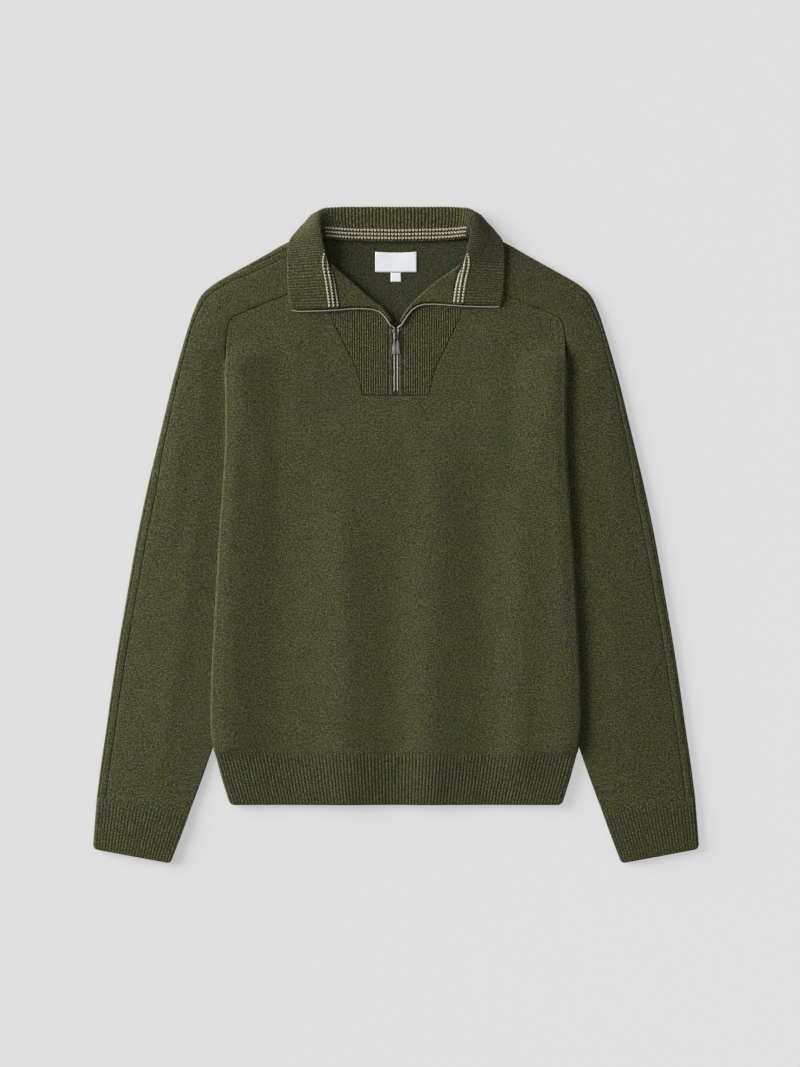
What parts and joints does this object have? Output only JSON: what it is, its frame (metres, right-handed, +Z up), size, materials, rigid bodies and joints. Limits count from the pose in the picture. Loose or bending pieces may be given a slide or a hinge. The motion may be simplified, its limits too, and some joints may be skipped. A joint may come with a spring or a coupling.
{
  "type": "quarter zip sweater laid flat",
  "caption": "Knitted pullover laid flat on its back, with an open ribbed collar, a short front zip with a hinged pull, ribbed placket, cuffs and hem.",
  "frame": {"origin": "middle of the rectangle that the laid-out garment covers, on the surface that it lies on", "axes": "+Z up from the surface, +Y from hem to collar, +X toward the garment's left sleeve"},
  "size_m": [0.71, 0.7682, 0.0189],
  "materials": {
    "knit": "heather green brushed wool, plain knit",
    "rib": "heather green wool, 1x1 rib knit",
    "zip_teeth": "silver teeth on a woven tape",
    "zip_metal": "dark polished metal",
    "label": "white woven satin"
  },
  "bodies": {
    "garment": {"back_panel": "knit", "front_panel": "knit", "hem_rib_back": "rib", "hem_rib_front": "rib", "sleeve_left": "knit", "sleeve_right": "knit", "cuff_left": "rib", "cuff_right": "rib", "placket_left": "rib", "placket_right": "rib", "lapel_left": "knit", "lapel_right": "knit", "collar": "rib", "zip_chain_left": "zip_teeth", "zip_chain_right": "zip_teeth", "zip_stop": "zip_metal", "zip_slider": "zip_metal", "neck_label": "label", "size_tab": "label"},
    "pull": {"zip_pull": "zip_metal"}
  },
  "joints": [
    {"name": "pull_swing", "type": "hinge", "parent": "garment", "child": "pull", "pos_m": [0, 0.2308, 0.00877], "axis": [-1, 0, 0], "range_deg": [0, 150]}
  ]
}
